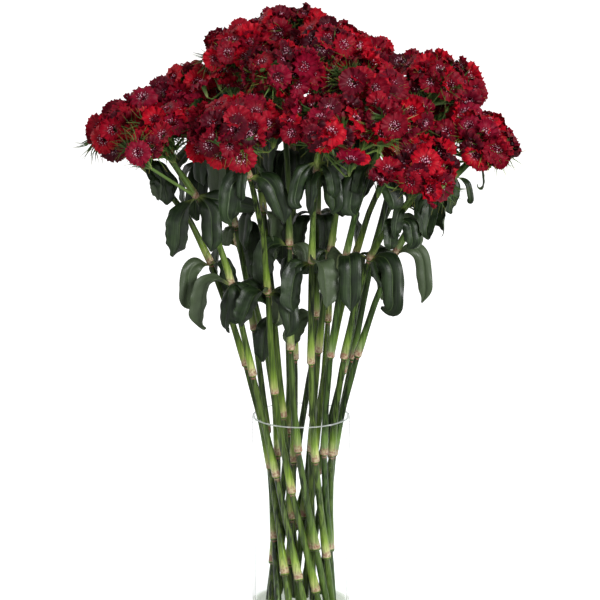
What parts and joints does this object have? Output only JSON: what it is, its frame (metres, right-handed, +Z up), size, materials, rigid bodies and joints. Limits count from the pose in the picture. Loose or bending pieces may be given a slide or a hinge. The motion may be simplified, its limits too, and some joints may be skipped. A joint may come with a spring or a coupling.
{
  "type": "bunch of red sweet william in a glass vase",
  "caption": "Rounded bunch of dark red clustered garden carnations on long jointed stems with drooping leaves, leaning in a straight clear glass cylinder vase.",
  "frame": {"origin": "centre of the vase's flat underside", "axes": "+Z up along the vase, +X to the right when seen from the front, and the front of the bunch faces -Y"},
  "size_m": [0.437, 0.3268, 0.616],
  "materials": {
    "glass": "clear polished glass",
    "stem": "smooth green stalk, paler above each joint",
    "leaf": "satin dark green leaf with a paler midrib",
    "petal": "matt velvety crimson petal"
  },
  "bodies": {
    "root": {"vase": "glass", "far_left_stem": "stem", "far_left_head": "petal", "left_front_stem": "stem", "left_front_head": "petal", "left_ridge_stem": "stem", "left_ridge_head": "petal", "mid_left_front_stem": "stem", "mid_left_front_head": "petal", "centre_front_stem": "stem", "centre_front_head": "petal", "young_stem": "stem", "young_head": "petal", "right_front_stem": "stem", "right_front_head": "petal", "far_right_stem": "stem", "far_right_head": "petal", "right_upper_stem": "stem", "right_upper_head": "petal", "right_back_stem": "stem", "right_back_head": "petal", "back_right_stem": "stem", "back_right_head": "petal", "back_right_top_stem": "stem", "back_right_top_head": "petal", "back_mid_stem": "stem", "back_mid_head": "petal", "back_left_stem": "stem", "back_left_head": "petal", "top_front_stem": "stem", "top_front_head": "petal", "upper_left_stem": "stem", "upper_left_head": "petal", "top_stem": "stem", "top_head": "petal", "centre_top_stem": "stem", "centre_top_head": "petal", "right_centre_stem": "stem", "right_centre_head": "petal", "right_middle_stem": "stem", "right_middle_head": "petal", "far_right_leaf_low": "leaf", "far_right_leaf_high": "leaf", "right_front_leaf_low": "leaf", "right_front_leaf_high": "leaf", "young_leaf": "leaf", "centre_front_leaf": "leaf", "right_middle_leaf": "leaf", "right_upper_leaf": "leaf", "right_back_leaf": "leaf", "back_right_leaf": "leaf", "back_mid_leaf": "leaf", "back_left_leaf": "leaf", "far_left_leaf": "leaf", "left_front_leaf_low": "leaf", "left_front_leaf_inner": "leaf", "left_front_leaf_high": "leaf", "left_front_leaf_level": "leaf", "mid_left_leaf_low": "leaf", "mid_left_leaf_high": "leaf"}
  },
  "joints": []
}
